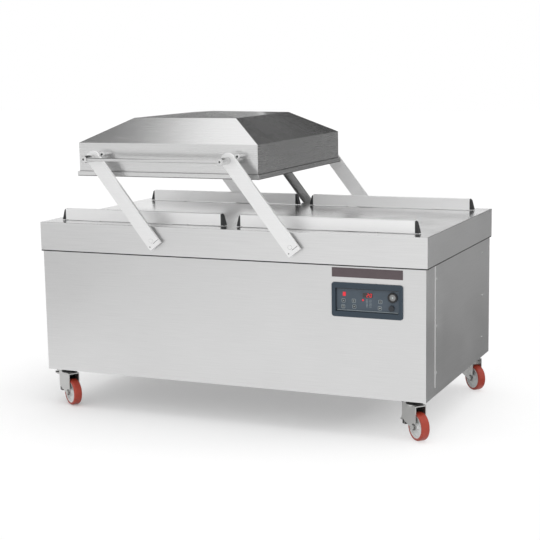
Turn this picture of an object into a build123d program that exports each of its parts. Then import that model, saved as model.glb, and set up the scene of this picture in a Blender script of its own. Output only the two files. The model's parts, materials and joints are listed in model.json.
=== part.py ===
"""Double-chamber vacuum packing machine on castors, with one lid that swings between two chambers.

Millimetres, +Z up. X runs along the front from left to right, Y from front to back. The origin is on
the floor, centred under the whole machine, from the front of the lid handle to the rear arm pins.
The lid is shown raised on its parallel arms, part of the way from the left chamber to the right one.
"""

from build123d import *
from math import atan, atan2, cos, degrees, hypot, radians, sin, tan
import os

# ---- Whole machine -------------------------------------------------------------------------------
length = 1900.0            # worktop, along X
depth = 1082.0             # worktop, front to back
body_height = 580.0        # cabinet, from its underside to the band round the worktop
band_height = 132.0        # band of the worktop
body_inset = 8.0           # cabinet faces behind the band's faces
running_gap = 0.05         # radial clearance of a turning or sliding fit
open_pivot_gap = 0.4       # radial clearance of a pivot that only follows
seat_gap = 0.2             # clearance round a piece that is set into another
sheet = 1.5                # cabinet sheet thickness

# ---- Castors -------------------------------------------------------------------------------------
wheel_radius = 62.5
wheel_width = 40.0
tyre_thickness = 11.0
tyre_edge_round = 8.0
hub_web = 16.0
hub_boss_radius = 17.0
hub_boss_width = 43.0
wheel_trail = 38.0         # wheel centre behind the swivel axis
castor_inset_x = 80.0
castor_inset_y = 75.0
castor_plate = (106.0, 86.0, 5.0)
castor_bolt_spacing = (84.0, 64.0)
castor_bolt_radius = 4.0
swivel_race_radius = 30.0
swivel_race_height = 9.0
kingpin_radius = 6.0
fork_crown_height = 8.0
fork_crown_radius = 37.0
fork_bridge = 5.0
fork_leg_thickness = 3.5
fork_leg_gap = 47.0        # between the legs
fork_front = 60.0          # reach of the legs ahead of the swivel axis
fork_back = 54.0           # reach of the legs behind it
fork_foot_radius = 16.0
fork_leg_drop = 16.0       # lower front corner of the legs above the axle
fork_neck = (28.0, 12.0)   # race cup under the fork's bridge: radius and height
crown_to_wheel = 26.0      # under the fork bridge, above the tyre
axle_radius = 6.0
axle_head_radius = 9.5
axle_head = 7.0
pedal_length = 66.0
pedal_drop = 21.0          # pedal's pin below the fork's bridge
pedal_thickness = 4.0
pedal_barrel_radius = 7.0
pedal_pin_radius = 4.0
pedal_swing = 70.0         # from released to pressed
brake_strap = 4.0          # thickness of the strap that hangs between the ears
brake_strap_front = 44.0   # ahead of the swivel axis
brake_shoe = (18.0, 20.0)  # block at the strap's foot: along the fork, and up
brake_shoe_z = 55.0
trail_angles = {"front_left": -34.0, "front_right": -42.0, "rear_left": -37.0, "rear_right": -40.0}
pressed_pedals = ["front_right"]

# ---- Worktop -------------------------------------------------------------------------------------
deck_plate = 5.0
band_sheet = 2.0
worktop_edge_round = 3.0
vacuum_port_radius = 7.0
vacuum_port_x = 150.0      # each side of the middle
vacuum_port_inset = 64.0   # from the rear face

# ---- Frame and cabinet ---------------------------------------------------------------------------
tube = 40.0                # square tube of the frame
tube_wall = 2.0
top_rail_height = 30.0
pump_rails = (310.0, 690.0)  # floor rails under the pump, from the left end
box_rails = (390.0, 130.0)   # floor rails under the electrical box, from the right end
panel_tuck = 10.0          # panels reach this far up behind the band
wrap = 141.0               # front and rear panels wrap this far round the corners
side_panel_lift = 3.0      # side panels stand proud of the wrapped corners
side_panel_overlap = 10.0
sill_height = 37.0
vent_slots = 9
vent_slot = (120.0, 7.0)
vent_pitch = 20.0
vent_rows = (530.0, 710.0)  # from the left end
vent_z = 330.0
screw_head_radius = 5.0
screw_head = 2.5
screw_levels = (0.12, 0.5, 0.88)

# ---- Control panel -------------------------------------------------------------------------------
controls_inset = 270.0     # centre of the bezel, from the right end
bezel = (322.0, 150.0)
bezel_drop = 77.0          # bezel's top edge below the band
bezel_lift = 7.0           # bezel stands proud of the cabinet
bezel_corner = 12.0
bezel_box = (304.0, 120.0, 26.0)
face_plate = (286.0, 102.0)
face_recess = 11.0
face_thickness = 3.0
face_border = 2.0
name_plate = (320.0, 41.0, 1.5)
name_plate_drop = 13.0
display = (44.0, 19.0, 1.5)
display_at = (1.0, 23.0)   # from the face plate's centre
gauge_at = (114.0, 19.0)
gauge_radius = 22.0
gauge_dial_radius = 14.5
gauge_depth = 7.0
button_at = (109.5, -27.0)
button_radius = 12.5
button_height = 7.0
button_stem_radius = 5.0
button_travel = 3.0

# ---- Sealing bars --------------------------------------------------------------------------------
bar_end_inset = 78.0       # bars' outer ends, from the worktop's ends
bar_middle_gap = 42.0      # bars' inner ends, from the machine's middle
bar_height = 52.0
bar_depth = 28.0
bar_stand = 3.0            # gap under a lowered bar
bar_corner = 7.0
bar_end_flare = 12.0
bar_groove = (12.0, 1.5)
front_bar_inset = 95.0     # front bar's front face from the band's front face
rear_bar_inset = 75.0      # rear bar's rear face from the band's rear face
bar_lift = 6.0
lift_rod_radius = 6.0
lift_rod_inset = 185.0     # lift rods from the bar's ends
lift_cylinder_radius = 20.0
lift_cylinder_wall = 5.0
lift_cylinder_height = 50.0
lift_piston = 6.0

# ---- Lid arms ------------------------------------------------------------------------------------
arm_angle = 52.0           # above the horizontal, as shown
arm_width = 66.0
arm_thickness = 15.0
arm_gap = 16.0             # from the band's face to the arm
arm_foot = 34.0            # arm below its lower pivot
arm_edge_round = 1.5
arm_clamp_at = 18.0        # slit of the foot's clamp, above the foot
arm_clamp_slit = (1.8, 2.5)  # width and depth
arm_clamp_screw = (3.0, 2.5)  # radius and depth
arm_plug_ring = (10.0, 0.8)  # ring round the shaft's end: radius and width
pivot_drop = 62.0          # lower pivots below the worktop
shaft_radius = 15.0
shaft_seat = 10.0          # depth of the shaft's end in the arm
pillow_block = (70.0, 30.0)
lid_pin_radius = 10.0
pin_shoulder_gap = 1.0     # between an arm's faces and what flanks it

channel_x = 20.0           # middle rear arm, from the machine's middle
channel_width = 42.0
channel_depth = 22.0
channel_wall = 3.0
channel_end = 24.0         # channel beyond its pivots
channel_boss_radius = 14.0
channel_pin_radius = 8.0
pin_cap = 2.0
pin_cap_gap = 0.5

# ---- Lid -----------------------------------------------------------------------------------------
lid_setback = 41.0         # lid's sides behind the worktop's front and rear faces
lid_end_gap = 50.7         # closed lid from the worktop's end
lid_over_middle = 8.7      # closed lid beyond the machine's middle
lid_pivot_inset = 113.0    # pivots from the lid's left and right sides
lid_skirt = 150.0          # height of the upright sides
lid_hip_inset = 190.0      # sloping sides, measured level
lid_hip_rise = 106.0
lid_crown = 19.0           # shallow point in the middle of the top
lid_sheet = 2.0
lid_rim = (8.0, 18.0)      # stiff rim: overhang and height
lid_pivot_rise = 85.0      # arm pivots above the rim's underside
seal_stand = 3.0           # gasket below the rim
seal_width = 8.0
seal_seat = 5.0            # gasket's depth in the rim
closed_gap = 0.3           # gasket above the worktop at the end of travel
counter_bar_rise = 70.0    # counter bars above the rim's underside
counter_bar = (28.0, 24.0)
silicone = (12.0, 8.0)
silicone_end_gap = 34.0
boss_radius = 27.0
stop_at = (37.5, 16.5)     # stop bolt from the arm pivot
stop_gap = 5.0             # from the arm's back to the bolt's head
stop_head_radius = 10.0
stop_head = 12.0
stop_socket = (5.0, 6.0)
stop_shank_radius = 6.0
handle_reach = 82.0        # handle's face in front of the arms
handle_post_radius = 16.5
handle_rod_radius = 7.5
handle_rod_setback = 12.0  # rod's axis behind the face of its posts
handle_screw = (8.0, 7.0)
handle_screw_socket = (4.6, 5.0)
pin_washer = (15.0, 4.0)

# ---- Inside the cabinet --------------------------------------------------------------------------
pump_body = (330.0, 300.0, 250.0)
pump_wall = 12.0
pump_motor_radius = 105.0
pump_motor_length = 250.0
pump_motor_wall = 20.0
pump_exhaust = (110.0, 260.0, 210.0)
pump_exhaust_wall = 5.0
pump_foot = 20.0
pump_inlet_radius = 24.0
pump_inlet_height = 30.0
valve_block = (120.0, 140.0, 105.0)
hose_radius = 18.0
hose_under_shaft = 14.0    # between the arm shafts and the hoses below them
port_hose_radius = 9.0
hose_bend = 70.0
port_hose_bend = 40.0
transformer = (150.0, 130.0, 130.0)
transformer_at = (200.0, 300.0)  # left and front sides, from the middle and the frame's front
electrical_box = (330.0, 200.0, 400.0)
electrical_box_gap = 30.0  # behind the control panel's bezel box
gland_radius = 14.0
gland_inset = 190.0        # from the right end
gland_height = 260.0
gland_length = 26.0

# ---- Levels and positions that follow from the sizes above ---------------------------------------
axle_z = wheel_radius
crown_z = 2 * wheel_radius + crown_to_wheel
race_z = crown_z + fork_bridge + fork_crown_height
body_bottom = race_z + swivel_race_height + castor_plate[2]
band_bottom = body_bottom + body_height
deck_z = band_bottom + band_height
deck_under = deck_z - deck_plate
pivot_z = deck_z - pivot_drop

handle_face = arm_gap + arm_thickness + handle_reach
rear_reach = arm_gap + channel_depth + pin_cap_gap + pin_cap
front_y = handle_face - (depth + handle_face + rear_reach) / 2
back_y = front_y + depth
half = length / 2
pump_rail_x = [inset - half for inset in pump_rails]
box_rail_x = [half - inset for inset in box_rails]
vent_x = [inset - half for inset in vent_rows]
controls_x = half - controls_inset
gland_x = half - gland_inset
panel_x = half - body_inset
panel_front = front_y + body_inset
panel_back = back_y - body_inset
frame_x = panel_x - sheet
frame_front = panel_front + sheet
frame_back = panel_back - sheet
floor_top = body_bottom + sheet
rail_top = floor_top + tube
panel_top = band_bottom + panel_tuck
top_rail_under = deck_under - top_rail_height
hose_z = pivot_z - shaft_radius - hose_under_shaft - hose_radius

lid_length = half - lid_end_gap + lid_over_middle
lid_depth = depth - 2 * lid_setback
chamber_x = half - lid_end_gap - lid_length / 2
closed_rise = pivot_drop + lid_pivot_rise + seal_stand + closed_gap
closed_angle = degrees(atan2(closed_rise, chamber_x))
arm_reach = hypot(closed_rise, chamber_x)
arm_spacing = lid_length - 2 * lid_pivot_inset
arm_run = arm_reach * cos(radians(arm_angle))
arm_rise = arm_reach * sin(radians(arm_angle))
lid_x = -arm_run
lid_pivot_z = pivot_z + arm_rise
lid_bottom = lid_pivot_z - lid_pivot_rise
lid_y = (front_y + back_y) / 2
lid_front = lid_y - lid_depth / 2
lid_back = lid_y + lid_depth / 2
arm_x = {"left": -arm_spacing / 2, "right": arm_spacing / 2}
front_arm_y = (front_y - arm_gap - arm_thickness, front_y - arm_gap)
rear_arm_y = (back_y + arm_gap, back_y + arm_gap + arm_thickness)
bar_y = {"front": front_y + front_bar_inset, "rear": back_y - rear_bar_inset - bar_depth}
bar_length = half - bar_end_inset - bar_middle_gap
bar_middle_x = bar_middle_gap + bar_length / 2
bar_x = {"left": -bar_middle_x, "right": bar_middle_x}
lift_rod_spread = bar_length / 2 - lift_rod_inset
silicone_length = lid_length - 2 * silicone_end_gap
bar_bottom = deck_z + bar_stand
controls_z = band_bottom - bezel_drop - bezel[1] / 2
face_y = panel_front - bezel_lift + face_recess


def block(x0, x1, y0, y1, z0, z1):
    """Box between two opposite corners."""
    middle = Pos((x0 + x1) / 2, (y0 + y1) / 2, (z0 + z1) / 2)
    return middle * Box(x1 - x0, y1 - y0, z1 - z0)


def pin_z(x, y, z0, z1, radius):
    """Upright round pin."""
    return Pos(x, y, (z0 + z1) / 2) * Cylinder(radius, z1 - z0)


def pin_y(x, z, y0, y1, radius):
    """Round pin that runs from front to back."""
    return Pos(x, (y0 + y1) / 2, z) * Rot(90, 0, 0) * Cylinder(radius, y1 - y0)


def plate_y(x, z, y0, y1, size, corner=0.0):
    """Upright plate facing the front, with rounded corners."""
    outline = RectangleRounded(size[0], size[1], corner) if corner else Rectangle(size[0], size[1])
    return Pos(x, y1, z) * extrude(Plane.XZ * outline, y1 - y0)


def hollow_block(x0, x1, y0, y1, z0, z1, wall):
    """Closed box of sheet or tube, with its ends capped."""
    inside = block(x0 + wall, x1 - wall, y0 + wall, y1 - wall, z0 + wall, z1 - wall)
    return block(x0, x1, y0, y1, z0, z1) - inside


def hexagon_pin_y(x, z, y0, y1, across):
    """Hexagonal prism that runs from front to back."""
    outline = Plane.XZ * RegularPolygon(across / 2, 6, major_radius=False)
    return Pos(x, y1, z) * extrude(outline, y1 - y0)


# ---- Frame and cabinet ---------------------------------------------------------------------------


def frame():
    """Welded tube frame: floor rails, corner posts and the rails under the worktop."""
    rails = []
    inner_front, inner_back = frame_front + tube, frame_back - tube
    for z0, z1 in ((floor_top, rail_top), (top_rail_under, deck_under)):
        rails.append((-frame_x, frame_x, frame_front, inner_front, z0, z1))
        rails.append((-frame_x, frame_x, inner_back, frame_back, z0, z1))
        for x0 in (-frame_x, frame_x - tube):
            rails.append((x0, x0 + tube, inner_front, inner_back, z0, z1))
    for x0 in (-frame_x, frame_x - tube):
        for y0 in (frame_front, inner_back):
            rails.append((x0, x0 + tube, y0, y0 + tube, rail_top, top_rail_under))
    for x in pump_rail_x + box_rail_x:
        rails.append((x - tube / 2, x + tube / 2, inner_front, inner_back, floor_top, rail_top))
    rails.append((-tube / 2, tube / 2, inner_front, inner_back, top_rail_under, deck_under))
    whole = hollow_block(*rails[0], tube_wall)
    for rail in rails[1:]:
        whole += hollow_block(*rail, tube_wall)
    return whole


def wrapped_panel(face, inward):
    """Cover sheet that is folded round both corners; face is its outer plane, inward is +1 or -1."""
    y0, y1 = sorted((face, face + inward * wrap))
    shell = block(-panel_x, panel_x, y0, y1, body_bottom, panel_top)
    n0, n1 = sorted((face + inward * sheet, face + inward * (wrap + sheet)))
    return shell - block(-frame_x, frame_x, n0, n1, body_bottom - sheet, panel_top + sheet)


def front_panel():
    opening = plate_y(controls_x, controls_z, panel_front - sheet, panel_front + 2 * sheet,
                      [side + 2 * seat_gap for side in bezel_box[:2]])
    return wrapped_panel(panel_front, 1) - opening


def rear_panel():
    panel = wrapped_panel(panel_back, -1)
    for row_x in vent_x:
        for step in range(vent_slots):
            z = vent_z + step * vent_pitch
            slot = SlotOverall(vent_slot[0], vent_slot[1])
            panel -= Pos(row_x, panel_back + sheet, z) * extrude(Plane.XZ * slot, 3 * sheet)
    gland_hole = pin_y(gland_x, gland_height, panel_back - 2 * sheet, panel_back + sheet, gland_radius / 2)
    return panel - gland_hole


def side_panel(side):
    """Lift-off side cover that laps over the wrapped corners."""
    margin = wrap - side_panel_overlap
    x0, x1 = sorted((side * panel_x, side * (panel_x + side_panel_lift)))
    cover = block(x0, x1, panel_front + margin, panel_back - margin, body_bottom + sill_height, panel_top)
    return cover


def floor_pan():
    pan = block(-frame_x, frame_x, frame_front, frame_back, body_bottom, floor_top)
    for side in (-1, 1):
        x0, x1 = sorted((side * panel_x, side * frame_x))
        y0 = panel_front + wrap + seat_gap
        y1 = panel_back - wrap - seat_gap
        pan += block(x0, x1, y0, y1, body_bottom, body_bottom + sill_height - seat_gap)
    return pan


def panel_screws():
    """Pan-head screws along the edges of both side covers."""
    heads = []
    margin = wrap - side_panel_overlap / 2
    face = panel_x + side_panel_lift
    low = body_bottom + sill_height
    for side in (-1, 1):
        for y in (panel_front + margin + side_panel_overlap, panel_back - margin - side_panel_overlap):
            for level in screw_levels:
                z = low + level * (band_bottom - low)
                head = Rot(0, 90, 0) * Cylinder(screw_head_radius, screw_head)
                heads.append(Pos(side * (face + screw_head / 2), y, z) * head)
    return Compound(heads)


def worktop():
    """Worktop plate with its folded band, bored for the lift rods, the arm shafts and the vacuum."""
    top = block(-half, half, front_y, back_y, band_bottom, deck_z)
    round_edges = top.edges().group_by(Axis.Z)[-1] + top.edges().filter_by(Axis.Z)
    top = fillet(round_edges, worktop_edge_round)
    top -= block(-half + band_sheet, half - band_sheet, front_y + band_sheet, back_y - band_sheet,
                 band_bottom - band_sheet, deck_under)
    for x in bar_x.values():
        for row in bar_y.values():
            for rod in (-1, 1):
                rod_x = x + rod * lift_rod_spread
                top -= pin_z(rod_x, row + bar_depth / 2, deck_under - 1, deck_z + 1,
                             lift_rod_radius + running_gap)
    for x in arm_x.values():
        top -= pin_y(x, pivot_z, front_y - 1, back_y + 1, shaft_radius + pin_shoulder_gap)
    for side in (-1, 1):
        top -= pin_z(side * vacuum_port_x, back_y - vacuum_port_inset, deck_under - 1, deck_z + 1,
                     vacuum_port_radius)
    return top


# ---- Control panel -------------------------------------------------------------------------------


def panel_bezel():
    """Moulded surround, with a box that reaches through the front panel."""
    lip = plate_y(controls_x, controls_z, panel_front - bezel_lift, panel_front, bezel, bezel_corner)
    lip = chamfer(lip.faces().sort_by(Axis.Y)[0].edges(), bezel_lift / 3)
    box = plate_y(controls_x, controls_z, panel_front, panel_front + bezel_box[2], bezel_box[:2])
    window = plate_y(controls_x, controls_z, panel_front - bezel_lift - 1, face_y, face_plate)
    pocket_size = [side + 2 * (face_border + seat_gap) for side in face_plate]
    pocket = plate_y(controls_x, controls_z, face_y, panel_front + bezel_box[2] + 1, pocket_size)
    return lip + box - window - pocket


def control_plate():
    size = [side + 2 * face_border for side in face_plate]
    plate = plate_y(controls_x, controls_z, face_y, face_y + face_thickness, size)
    stem = pin_y(controls_x + button_at[0], controls_z + button_at[1], face_y - 1,
                 face_y + face_thickness + 1, button_stem_radius + running_gap)
    return plate - stem


def display_window():
    x, z = controls_x + display_at[0], controls_z + display_at[1]
    return plate_y(x, z, face_y - display[2], face_y, display[:2], display[2])


def gauge_housing():
    x, z = controls_x + gauge_at[0], controls_z + gauge_at[1]
    ring = pin_y(x, z, face_y - gauge_depth, face_y, gauge_radius)
    ring = chamfer(ring.faces().sort_by(Axis.Y)[0].edges(), gauge_depth / 4)
    return ring - pin_y(x, z, face_y - gauge_depth - 1, face_y - gauge_depth / 3, gauge_dial_radius)


def gauge_dial():
    x, z = controls_x + gauge_at[0], controls_z + gauge_at[1]
    seat = face_y - gauge_depth / 3
    return pin_y(x, z, seat - gauge_depth / 6, seat, gauge_dial_radius - seat_gap)


def power_button():
    x, z = controls_x + button_at[0], controls_z + button_at[1]
    cap = pin_y(x, z, face_y - button_travel - button_height, face_y - button_travel - seat_gap, button_radius)
    cap = fillet(cap.faces().sort_by(Axis.Y)[0].edges(), button_height / 5)
    return cap + pin_y(x, z, face_y - button_travel - 1, face_y + face_thickness + button_height,
                       button_stem_radius)


def blank_name_plate():
    z = band_bottom - name_plate_drop - name_plate[1] / 2
    return plate_y(controls_x, z, panel_front - name_plate[2], panel_front, name_plate[:2], 1.0)


# ---- Sealing bars --------------------------------------------------------------------------------


def bar_outline(x, middle_half):
    """Front outline of a bar between its end caps."""
    top = bar_bottom + bar_height
    return block(x - middle_half, x + middle_half, 0, bar_depth, bar_bottom, top)


def seal_bar(side, row):
    """Bar with its tape groove and the two lift rods that carry it."""
    x, y = bar_x[side], bar_y[row]
    body = Pos(0, y, 0) * bar_outline(x, bar_length / 2 - bar_corner)
    top = bar_bottom + bar_height
    middle = y + bar_depth / 2
    groove_half = bar_groove[0] / 2
    body -= block(x - bar_length, x + bar_length, middle - groove_half, middle + groove_half,
                  top - bar_groove[1], top + 1)
    low = deck_under - lift_cylinder_height + lift_cylinder_wall
    for rod in (-1, 1):
        rod_x = x + rod * lift_rod_spread
        body += pin_z(rod_x, middle, low + lift_piston / 2, bar_bottom, lift_rod_radius)
        piston_radius = lift_cylinder_radius - lift_cylinder_wall - running_gap
        body += pin_z(rod_x, middle, low + seat_gap, low + seat_gap + lift_piston, piston_radius)
    return body


def seal_bar_ends(side, row):
    """Dark end caps that widen towards the worktop."""
    x, y = bar_x[side], bar_y[row]
    top = bar_bottom + bar_height
    caps = []
    for end in (-1, 1):
        inner = x + end * (bar_length / 2 - bar_corner)
        outer = x + end * bar_length / 2
        foot = outer + end * bar_end_flare
        points = [(inner, bar_bottom), (foot, bar_bottom), (outer, top - bar_corner), (inner, top)]
        outline = Plane.XZ * make_face(Polyline(*points, close=True))
        caps.append(Pos(0, y + bar_depth, 0) * extrude(outline, bar_depth))
    return Compound(caps)


def lift_cylinders():
    """Closed cups under the worktop that raise the sealing bars."""
    cups = []
    low = deck_under - lift_cylinder_height
    bore = lift_cylinder_radius - lift_cylinder_wall
    for x in bar_x.values():
        for row in bar_y.values():
            for rod in (-1, 1):
                cx, cy = x + rod * lift_rod_spread, row + bar_depth / 2
                cup = pin_z(cx, cy, low, deck_under, lift_cylinder_radius)
                cup -= pin_z(cx, cy, low + lift_cylinder_wall, deck_under - lift_cylinder_wall, bore)
                cup -= pin_z(cx, cy, deck_under - lift_cylinder_wall - 1, deck_under + 1,
                             lift_rod_radius + running_gap)
                cups.append(cup)
    return Compound(cups)


# ---- Arms ----------------------------------------------------------------------------------------


def along_arm(x, y):
    """Place whose +X runs from the lower pivot at x to the upper one."""
    return Pos(x, y, pivot_z) * Rot(0, 180 + arm_angle, 0)


def arm(side, y_range, outward):
    """Flat bar with a round head, a square foot and a blind seat for the shaft; outward is -1 or +1."""
    middle = (arm_reach - arm_foot) / 2
    bar = Pos(middle, 0, 0) * Box(arm_reach + arm_foot, arm_thickness, arm_width)
    bar += Pos(arm_reach, 0, 0) * Rot(90, 0, 0) * Cylinder(arm_width / 2, arm_thickness)
    faces = bar.faces().sort_by(Axis.Y)
    face = faces[0] if outward < 0 else faces[-1]
    bar = fillet(face.edges(), arm_edge_round)
    outer = outward * arm_thickness / 2
    head_gap = running_gap if side == "left" else open_pivot_gap
    bar -= Pos(arm_reach, 0, 0) * Rot(90, 0, 0) * Cylinder(lid_pin_radius + head_gap, arm_thickness + 2)
    seat_middle = -outward * (arm_thickness - shaft_seat) / 2
    bar -= Pos(0, seat_middle, 0) * Rot(90, 0, 0) * Cylinder(shaft_radius + running_gap, shaft_seat)
    slit = arm_clamp_at - arm_foot
    bar -= Pos(slit, outer, -arm_width / 4) * Box(arm_clamp_slit[0], 2 * arm_clamp_slit[1], arm_width / 2)
    screw = Rot(90, 0, 0) * Cylinder(arm_clamp_screw[0], 2 * arm_clamp_screw[1])
    bar -= Pos(slit - arm_clamp_screw[0], outer, arm_width / 3) * screw
    radius, line = arm_plug_ring
    ring = Cylinder(radius, line) - Cylinder(radius - line, line)
    bar -= Pos(0, outer, 0) * Rot(90, 0, 0) * ring
    return along_arm(arm_x[side], sum(y_range) / 2) * bar


def arm_shaft(side):
    """Cross shaft that makes the front and rear arms move as one."""
    y0 = front_arm_y[1] - shaft_seat + seat_gap
    y1 = rear_arm_y[0] + shaft_seat - seat_gap
    return pin_y(arm_x[side], pivot_z, y0, y1, shaft_radius)


def channel_arm():
    """Middle rear arm, a channel open to the front."""
    size = arm_reach + 2 * channel_end
    bar = Box(size, channel_depth, channel_width)
    bar -= Pos(0, -channel_wall, 0) * Box(size + 2, channel_depth, channel_width - 2 * channel_wall)
    bar = Pos(arm_reach / 2, 0, 0) * bar
    for at, gap in ((0.0, running_gap), (arm_reach, open_pivot_gap)):
        bar += Pos(at, 0, 0) * Rot(90, 0, 0) * Cylinder(channel_boss_radius, channel_depth)
        bar -= Pos(at, 0, 0) * Rot(90, 0, 0) * Cylinder(channel_pin_radius + gap, channel_depth + 2)
    return along_arm(channel_x, back_y + arm_gap + channel_depth / 2) * bar


def pivot_bearings():
    """Pillow blocks under the top rails for both shafts, and the middle arm's fixed pin."""
    pieces = []
    under = 2 * pivot_z - top_rail_under
    for x in arm_x.values():
        for y0 in (frame_front + seat_gap, frame_back - seat_gap - pillow_block[1]):
            housing = block(x - pillow_block[0] / 2, x + pillow_block[0] / 2, y0, y0 + pillow_block[1],
                            under, top_rail_under)
            pieces.append(housing - pin_y(x, pivot_z, y0 - 1, y0 + pillow_block[1] + 1,
                                          shaft_radius + running_gap))
    channel_back = back_y + arm_gap + channel_depth
    pin = pin_y(channel_x, pivot_z, back_y, back_y + arm_gap - pin_shoulder_gap, channel_boss_radius)
    pin += pin_y(channel_x, pivot_z, back_y, channel_back + pin_cap_gap + pin_cap, channel_pin_radius)
    pin += pin_y(channel_x, pivot_z, channel_back + pin_cap_gap, channel_back + pin_cap_gap + pin_cap,
                 channel_boss_radius)
    pieces.append(pin)
    return Compound(pieces)


# ---- Lid -----------------------------------------------------------------------------------------


def hipped_top(half_x, half_y, low, inset_x, inset_y, high, crown):
    """Four sloping sides up to a smaller rectangle, and a shallow four-sided point above it."""
    lower = Plane.XY.offset(low) * Rectangle(2 * half_x, 2 * half_y)
    upper = Plane.XY.offset(high) * Rectangle(2 * (half_x - inset_x), 2 * (half_y - inset_y))
    corners = [(sx * (half_x - inset_x), sy * (half_y - inset_y), high)
               for sx, sy in ((-1, -1), (1, -1), (1, 1), (-1, 1))]
    apex = (0, 0, high + crown)
    faces = [Face(Wire.make_polygon([corners[i], corners[(i + 1) % 4], apex])) for i in range(4)]
    faces.append(Face(Wire.make_polygon(corners)))
    return loft([lower, upper]) + Solid(Shell(faces))


def lid_shell():
    """Sheet lid: upright skirt, four sloping sides, a cross-broken top and a stiff rim."""
    half_x, half_y = lid_length / 2, lid_depth / 2
    slope = atan(lid_hip_rise / lid_hip_inset)
    hip_top = lid_skirt + lid_hip_rise
    outer = Pos(0, 0, lid_skirt / 2) * Box(lid_length, lid_depth, lid_skirt)
    outer += hipped_top(half_x, half_y, lid_skirt, lid_hip_inset, lid_hip_inset, hip_top, lid_crown)
    rim_size = (lid_length + 2 * lid_rim[0], lid_depth + 2 * lid_rim[0])
    outer += Pos(0, 0, lid_rim[1] / 2) * Box(*rim_size, lid_rim[1])
    inner_low = lid_skirt - lid_sheet * (1 / sin(slope) - 1) * tan(slope)
    inner_top = hip_top - lid_sheet
    inner_half = (half_x - lid_sheet, half_y - lid_sheet)
    inner_inset = (inner_top - inner_low) / tan(slope)
    cavity = Pos(0, 0, inner_low / 2 - 1) * Box(2 * inner_half[0], 2 * inner_half[1], inner_low + 2)
    cavity += hipped_top(*inner_half, inner_low, inner_inset, inner_inset, inner_top, lid_crown)
    shell = outer - cavity
    shell -= Pos(0, 0, -seal_stand) * gasket_ring(seal_stand + seal_seat, seat_gap / 2)
    return Pos(lid_x, lid_y, lid_bottom) * shell


def gasket_ring(height, clear=0.0):
    """Rectangular ring under the lid's rim, with its underside at zero."""
    middle = lid_rim[0] / 2 - lid_sheet / 2
    ring = None
    for edge in (seal_width / 2 + clear, -seal_width / 2 - clear):
        size = (lid_length + 2 * (middle + edge), lid_depth + 2 * (middle + edge))
        tall = height if ring is None else height + 2
        slab = Pos(0, 0, height / 2) * Box(*size, tall)
        ring = slab if ring is None else ring - slab
    return ring


def lid_gasket():
    ring = gasket_ring(seal_stand + seal_seat - seat_gap)
    return Pos(lid_x, lid_y, lid_bottom - seal_stand) * ring


def counter_bars():
    """Bars across the lid, above the sealing bars."""
    bars = []
    span = lid_length / 2 - lid_sheet
    for row in bar_y.values():
        middle = row + bar_depth / 2
        y0, y1 = middle - counter_bar[0] / 2, middle + counter_bar[0] / 2
        low = lid_bottom + counter_bar_rise
        bars.append(block(lid_x - span, lid_x + span, y0, y1, low, low + counter_bar[1]))
    return Compound(bars)


def silicone_strips():
    strips = []
    for row in bar_y.values():
        middle = row + bar_depth / 2
        top = lid_bottom + counter_bar_rise
        y0, y1 = middle - silicone[0] / 2, middle + silicone[0] / 2
        strip = block(lid_x - silicone_length / 2, lid_x + silicone_length / 2, y0, y1, top - silicone[1], top)
        strips.append(strip)
    return Compound(strips)


def lid_pivots():
    """Bosses with pins on the lid's front and rear skirts, one for each arm."""
    bosses = []
    for x in arm_x.values():
        pin_x = x - arm_run
        inner, outer = front_arm_y[1] + pin_shoulder_gap, front_arm_y[0] - pin_shoulder_gap
        boss = pin_y(pin_x, lid_pivot_z, inner, lid_front, boss_radius)
        bosses.append(boss + pin_y(pin_x, lid_pivot_z, outer, lid_front, lid_pin_radius))
        inner, outer = rear_arm_y[0] - pin_shoulder_gap, rear_arm_y[1] + pin_shoulder_gap
        boss = pin_y(pin_x, lid_pivot_z, lid_back, inner, boss_radius)
        bosses.append(boss + pin_y(pin_x, lid_pivot_z, lid_back, outer, lid_pin_radius))
    pin_x = channel_x - arm_run
    shoulder = back_y + arm_gap - pin_shoulder_gap
    end = back_y + arm_gap + channel_depth + pin_cap_gap
    boss = pin_y(pin_x, lid_pivot_z, lid_back, shoulder, channel_boss_radius)
    bosses.append(boss + pin_y(pin_x, lid_pivot_z, lid_back, end, channel_pin_radius))
    return Compound(bosses)


def handle():
    """Grab rod between two posts that stand on the front pivots."""
    face = front_y - handle_face
    foot = front_arm_y[0] - pin_shoulder_gap
    rod_y = face + handle_rod_setback
    left, right = arm_x["left"] - arm_run, arm_x["right"] - arm_run
    rod = Pos((left + right) / 2, rod_y, lid_pivot_z) * Rot(0, 90, 0) * Cylinder(
        handle_rod_radius, right - left)
    for x in (left, right):
        post = pin_y(x, lid_pivot_z, face, foot, handle_post_radius)
        rod += fillet(post.faces().sort_by(Axis.Y)[0].edges(), 2.5)
    for x in (left, right):
        rod -= pin_y(x, lid_pivot_z, face - 1, face + handle_screw[1], handle_screw[0] + seat_gap)
    return rod


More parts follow.
